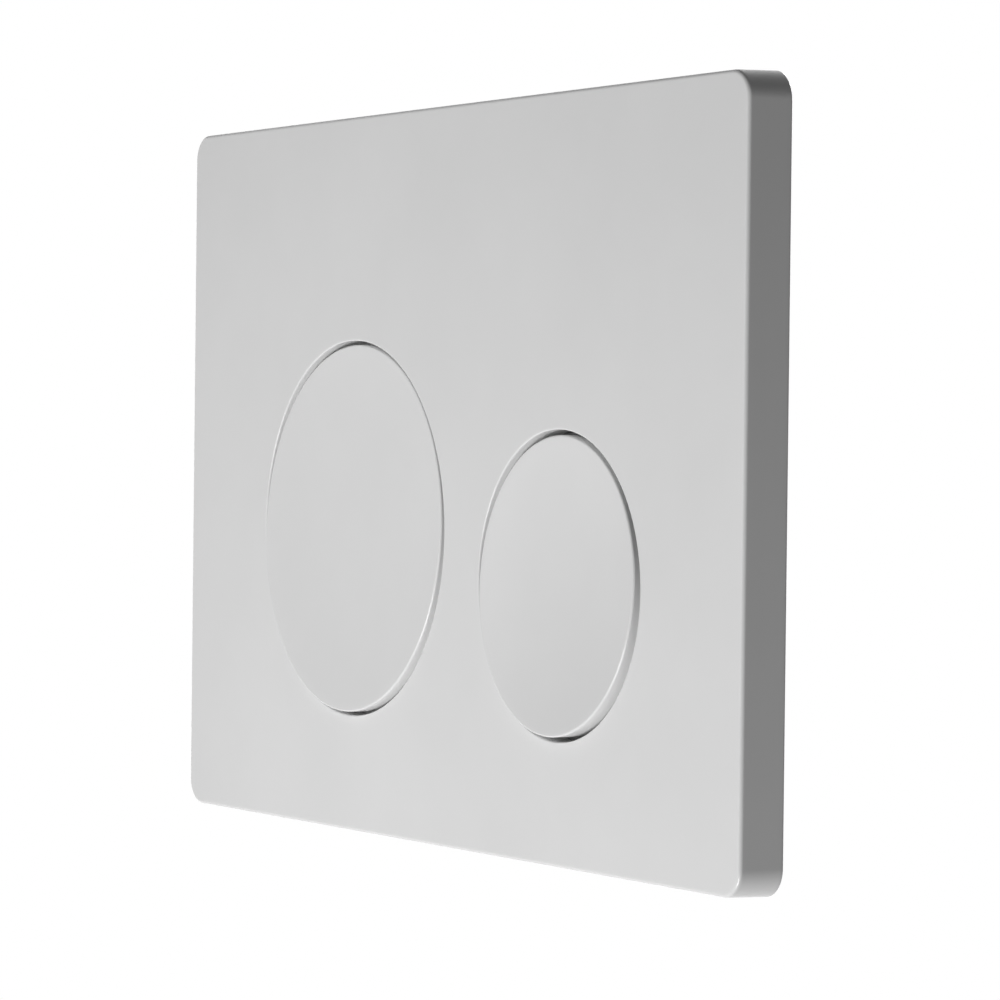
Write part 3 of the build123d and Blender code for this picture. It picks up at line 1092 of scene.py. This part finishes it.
@dataclass
class MountingFrame:
    """The moulded frame on the wall with the two screws that hold it."""

    edge: float = 0.35
    washer_edge: float = 0.2
    screw_spacing: float = 124.0
    screw_height: float = 46.0
    head_flat: float = 5.02
    head_corner: float = 5.75
    head_front: float = 11.254
    head_back: float = 15.254
    neck_radius: float = 2.4
    neck_back: float = 18.854
    stud_radius: float = 3.0
    stud_back: float = 30.854
    thread_pitch: float = 1.0
    thread_ridge: float = 0.52
    thread_start: float = 0.7
    thread_short: float = 1.6
    steps: int = 96

    def dress(self) -> list[Piece]:
        """Builds the frame, its screws and their washers.

        Returns:
            The finished pieces.
        """
        tray = softened("mounting_frame", "frame_moulding", GRAINED_ABS.material(), self.edge)
        place_piece(tray, "plate", Slot.FRAME, "mounting_frame")
        plates = softened("screw_washers", "square_washers", ZINC_STEEL.material(),
                          self.washer_edge)
        place_piece(plates, "plate", Slot.STEEL, "screw_washers")
        return [tray, plates, self.screws()]

    def screws(self) -> Piece:
        """Builds both screws as one piece.

        Returns:
            The finished piece.
        """
        work = MeshWork("hexagon_screws")
        bevel, slope, foot, fillet, point = 0.25, 0.55, 0.2, 0.3, 0.6
        core = self.stud_radius - self.thread_ridge
        flat, corner, throat = self.head_flat, self.head_corner, self.neck_radius
        front, back, neck, tip = self.head_front, self.head_back, self.neck_back, self.stud_back
        for side in (-1, 1):
            line = into_wall(side * self.screw_spacing / 2, self.screw_height)
            head = work.turned(
                line, [(flat - bevel, front), (corner, front + slope), (corner, back - foot),
                       (flat + foot / 2, back)], self.steps, flats=6, flat_radius=flat)
            work.cap(head[0])
            shank = work.turned(
                line, [(throat + bevel, back), (throat, back + fillet), (throat, neck),
                       (core, neck + foot), (core, tip - point), (core - point, tip)], self.steps)
            work.bridge(head[-1], shank[0])
            work.cap(shank[-1])
        piece = work.done(ZINC_STEEL.material())
        length = tip - neck - self.thread_short
        growth = Growth(
            "screw_threads", thread_turns=length / self.thread_pitch, thread_radius=core,
            thread_length=length, thread_ridge=self.thread_ridge, screw_count=2,
            screw_first=-self.screw_spacing / 2, screw_step=self.screw_spacing)
        upright = growth.moved(growth.thread("thread"), turn_deg=(-90, 0, 0))
        both = growth.along(upright, "screw_count", "screw_first", "screw_step")
        start = Vector((0, neck + self.thread_start, self.screw_height))
        growth.grow(piece, growth.moved(both, start))
        return place_piece(piece, "plate", Slot.STEEL, "fixing_screws")


@dataclass
class FlushLever:
    """One flush's working parts: rocker on its pin, spring, adjuster, lock nut, rod and buffer."""

    name: str
    side: int
    hole: ButtonHole
    spring_keep: float
    pivot_x: float = 85.7
    pivot_depth: float = 7.6
    rod_x: float = 24.8
    rod_z: float = -17.45
    pin_radius: float = 2.0
    pin_length: float = 30.8
    spring_seat: float = 21.6
    spring_front: float = 7.1
    spring_radius: float = 6.3
    spring_wire: float = 0.6
    spring_turns: float = 5.5
    flat_end_wires: float = 1.3
    adjuster_radius: float = 4.0
    adjuster_front: float = 7.4
    adjuster_back: float = 26.454
    bore_radius: float = 3.1
    bore_depth: float = 12.0
    nut_flat: float = 5.02
    nut_corner: float = 5.75
    nut_back: float = 30.454
    rod_radius: float = 3.0
    rod_front: float = 14.454
    rod_back: float = 48.454
    # The rod's thread is coarser than the usual one, so that it shows.
    rod_pitch: float = 2.0
    rod_ridge: float = 0.8
    rod_thread_start: float = 0.9
    rod_thread_short: float = 4.6
    rod_steps: int = 72
    pin_steps: int = 64
    steps: int = 96
    lever_edge: float = 0.4
    pad_edge: float = 0.3

    def node(self, part: str) -> str:
        """Name of one of this flush's nodes."""
        return f"{self.name}_flush_{part}"

    def rod_line(self) -> Axle:
        """The line that adjuster, nut and rod share."""
        return into_wall(self.side * self.rod_x, self.rod_z)

    def dress(self) -> list[Piece]:
        """Builds every part of this flush.

        Returns:
            The finished pieces.
        """
        rocker = softened(self.node("rocker"), self.name + "_lever", GREY_ACETAL.material(),
                          self.lever_edge)
        place_piece(rocker, self.name + "_rocker", Slot.LEVER, self.node("rocker"))
        pad = softened(self.node("buffer"), self.name + "_stop_pad", NITRILE_RUBBER.material(),
                       self.pad_edge)
        place_piece(pad, "plate", Slot.RUBBER, self.node("buffer"))
        return [rocker, pad, self.pin(), self.spring(), self.adjuster(), self.lock_nut(),
                self.push_rod()]

    def pin(self) -> Piece:
        """Builds the rocker's pin with broken ends.

        Returns:
            The finished piece.
        """
        work = MeshWork(self.name + "_pivot")
        half, edge = self.pin_length / 2, 0.4
        line = Axle(Vector((self.side * self.pivot_x, self.pivot_depth, self.hole.z)),
                    Vector((0, 0, 1)), Vector((1, 0, 0)))
        work.closed(
            line, [(self.pin_radius - edge, -half), (self.pin_radius, edge - half),
                   (self.pin_radius, half - edge), (self.pin_radius - edge, half)], self.pin_steps)
        piece = work.done(ZINC_STEEL.material())
        return place_piece(piece, "plate", Slot.STEEL, self.node("rocker_pin"))

    def spring(self) -> Piece:
        """Winds the return spring.

        Returns:
            The finished piece.
        """
        piece = linked(self.name + "_coil", bpy.data.meshes.new(self.name + "_coil"))
        piece.data.materials.append(SPRING_STEEL.material())
        length = self.spring_seat - self.spring_front - 2 * self.spring_wire
        growth = Growth(
            self.name + "_winding", coil_turns=self.spring_turns, coil_radius=self.spring_radius,
            coil_length=length, coil_wire=self.spring_wire)
        dead_rise = self.flat_end_wires * self.spring_wire / length
        start = Vector((self.hole.x, self.spring_seat - self.spring_wire, self.hole.z))
        coil = growth.coil("coil", 1 / self.spring_turns, dead_rise)
        growth.grow(piece, growth.moved(coil, start, (90, 0, 0)))
        place_piece(piece, "plate", Slot.STEEL, self.node("spring"))
        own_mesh(piece)
        return piece

    def adjuster(self) -> Piece:
        """Builds the barrel that the rocker presses on, bored from behind for the rod.

        Returns:
            The finished piece.
        """
        work = MeshWork(self.name + "_barrel")
        radius, bore, back = self.adjuster_radius, self.bore_radius, self.adjuster_back
        dome, edge, mouth = 0.8, 0.4, 0.3
        front = arc((radius - dome, self.adjuster_front + dome), dome, -90, 0, 5)
        ground = back - self.bore_depth
        work.closed(
            self.rod_line(),
            front + [(radius, back - edge), (radius - edge, back), (bore + mouth, back),
                     (bore, back - mouth), (bore, ground)], self.steps)
        piece = work.done(BLUE_NYLON.material())
        return place_piece(piece, self.name + "_rod", Slot.ADJUSTER, self.node("adjuster"))

    def lock_nut(self) -> Piece:
        """Builds the hexagon nut that holds the rod in its adjuster.

        Returns:
            The finished piece.
        """
        work = MeshWork(self.name + "_hexagon_nut")
        front, back, bore = self.adjuster_back, self.nut_back, self.rod_radius
        flat, corner = self.nut_flat, self.nut_corner
        bevel, slope, mouth = 0.2, 0.5, 0.4
        outside = work.turned(
            self.rod_line(), [(flat - bevel, front), (corner, front + slope), (corner, back - slope),
                              (flat - bevel, back)], self.steps, flats=6, flat_radius=flat)
        inside = work.turned(
            self.rod_line(), [(bore + mouth, back), (bore, back - mouth), (bore, front + mouth),
                              (bore + mouth, front)], self.steps)
        work.bridge(outside[-1], inside[0])
        work.bridge(inside[-1], outside[0])
        piece = work.done(BLUE_NYLON.material())
        return place_piece(piece, self.name + "_rod", Slot.ADJUSTER, self.node("lock_nut"))

    def push_rod(self) -> Piece:
        """Builds the rod with its thread.

        Returns:
            The finished piece.
        """
        work = MeshWork(self.name + "_threaded_rod")
        line, core = self.rod_line(), self.rod_radius - self.rod_ridge
        front, back = self.rod_front, self.rod_back
        edge, land, swell, point = 0.5, 3.0, 0.2, 0.8
        work.closed(
            line, [(core - edge, front), (core, front + edge), (core, back - land),
                   (core + swell, back - land + swell), (core + swell, back - point),
                   (core + swell - point, back)], self.rod_steps)
        piece = work.done(NATURAL_NYLON.material())
        length = back - front - self.rod_thread_short
        growth = Growth(
            self.name + "_thread", thread_turns=length / self.rod_pitch, thread_radius=core,
            thread_length=length, thread_ridge=self.rod_ridge)
        start = line.point(front + self.rod_thread_start, 0.0, 0.0)
        growth.grow(piece, growth.moved(growth.thread("thread"), start, (-90, 0, 0)))
        return place_piece(piece, self.name + "_rod", Slot.ROD, self.node("push_rod"))


@dataclass(frozen=True)
class Softbox:
    """A square lamp: its place, side and aim in millimetres and its power in watts."""

    name: str
    place: Place
    side: float
    power: float
    target: Place = (0.0, 0.0, 0.0)

    def hang(self) -> None:
        """Adds the lamp, which the camera doesn't see."""
        lamp = bpy.data.lights.new(self.name, "AREA")
        lamp.size = self.side * MM
        lamp.energy = self.power
        box = linked(self.name, lamp)
        box.location = Vector(self.place) * MM
        box.visible_camera = False
        aim = Vector(self.target) - Vector(self.place)
        box.rotation_euler = aim.to_track_quat("-Z", "Y").to_euler()


@dataclass
class Studio:
    """Camera, lights, world and floor."""

    camera_place: Place = (814.73, -468.57, 8.62)
    yaw_deg: float = 59.785
    pitch_deg: float = -0.843
    roll_deg: float = -0.64
    focal_px: float = 4226.4
    sensor_mm: float = 36.0
    lamps: tuple[Softbox, ...] = (
        Softbox("key_softbox", (375.0, -880.0, -790.0), side=530.0, power=11.2),
        Softbox("front_softbox", (-71.0, -275.0, -33.0), side=300.0, power=0.25),
        Softbox("back_softbox", (-350.0, 900.0, 450.0), side=600.0, power=8.0),
        Softbox("floor_softbox", (0.0, 0.0, FLOOR_LEVEL + 500.0), side=1400.0, power=4.5,
                target=(0.0, 0.0, FLOOR_LEVEL)))
    ambient: float = 0.04
    floor_radius: float = 700.0
    floor_steps: int = 96

    def camera(self) -> None:
        """Puts the camera where the photograph was taken from."""
        yaw, pitch, roll = (math.radians(a) for a in (self.yaw_deg, self.pitch_deg, self.roll_deg))
        ahead = Vector((-math.sin(yaw) * math.cos(pitch), math.cos(yaw) * math.cos(pitch),
                        math.sin(pitch)))
        level_right = Vector((math.cos(yaw), math.sin(yaw), 0))
        level_down = ahead.cross(level_right)
        right = level_right * math.cos(roll) + level_down * math.sin(roll)
        down = level_down * math.cos(roll) - level_right * math.sin(roll)
        lens = bpy.data.cameras.new("photo_camera")
        lens.sensor_width = self.sensor_mm
        lens.lens = self.focal_px * self.sensor_mm / IMAGE_SIZE
        lens.clip_start = 0.01
        viewer = linked("photo_camera", lens)
        turn = Matrix((right, -down, -ahead)).transposed().to_4x4()
        viewer.matrix_world = Matrix.Translation(Vector(self.camera_place) * MM) @ turn
        bpy.context.scene.camera = viewer

    def world(self) -> None:
        """White to the camera and to reflections, and a soft grey fill to everything else."""
        world = bpy.data.worlds.new("studio")
        world.use_nodes = True
        bpy.context.scene.world = world
        tree = world.node_tree
        tree.nodes.clear()
        rays = add_node(tree, "ShaderNodeLightPath").outputs
        seen = rays["Is Camera Ray"]
        for kind in ("Is Glossy Ray", "Is Transmission Ray"):
            either = add_node(
                tree, "ShaderNodeMath", {"operation": "MAXIMUM"}, {0: seen, 1: rays[kind]})
            seen = either.outputs[0]
        fill, white = (
            add_node(tree, "ShaderNodeBackground", {"Color": linear("#FFFFFF"), "Strength": strength})
            for strength in (self.ambient, 1.0))
        mixed = add_node(tree, "ShaderNodeMixShader", links={
            0: seen, 1: fill.outputs["Background"], 2: white.outputs["Background"]})
        add_node(tree, "ShaderNodeOutputWorld", links={"Surface": mixed.outputs["Shader"]})

    def floor(self) -> None:
        """Lays a pale round floor below the plate, out of the photograph's view."""
        work = MeshWork("studio_floor")
        points = [Vector((self.floor_radius * math.cos(a), self.floor_radius * math.sin(a),
                          FLOOR_LEVEL)) for a in even_turns(self.floor_steps)]
        work.cap(work.ring(points))
        work.done(STUDIO_PAPER.material())

    def set_up(self) -> None:
        """Sets up the whole studio."""
        bpy.context.scene.view_settings.view_transform = "Standard"
        self.camera()
        for lamp in self.lamps:
            lamp.hang()
        self.world()
        self.floor()


def main() -> None:
    """Builds every piece, dresses it and sets up the studio."""
    logging.basicConfig(level=logging.INFO, format="%(name)s: %(message)s")
    full_button = FlushButton(
        "full_button_cap", "full_button", "full_flush_button", FULL_HOLE, gap=0.9, middle_proud=0.4,
        side_rise=-0.12, finish=POLISHED_ABS)
    # The half button's finish has shade painted deep in its gap.
    half_button = FlushButton(
        "half_button_cap", "half_button", "half_flush_button", HALF_HOLE, gap=1.1, middle_proud=0.7,
        side_rise=0.2, finish=SHADE_PAINTED_GAP_ABS)
    full_lever = FlushLever("full", side=-1, hole=FULL_HOLE, spring_keep=0.63)
    half_lever = FlushLever("half", side=1, hole=HALF_HOLE, spring_keep=0.61)
    pieces = [CoverPlate().build(), full_button.build(), half_button.build(),
              *MountingFrame().dress(), *full_lever.dress(), *half_lever.dress()]
    for piece in pieces:
        log.info("%s: %d faces", piece.name, len(piece.data.polygons))
    Studio().set_up()


if __name__ == "__main__":
    main()
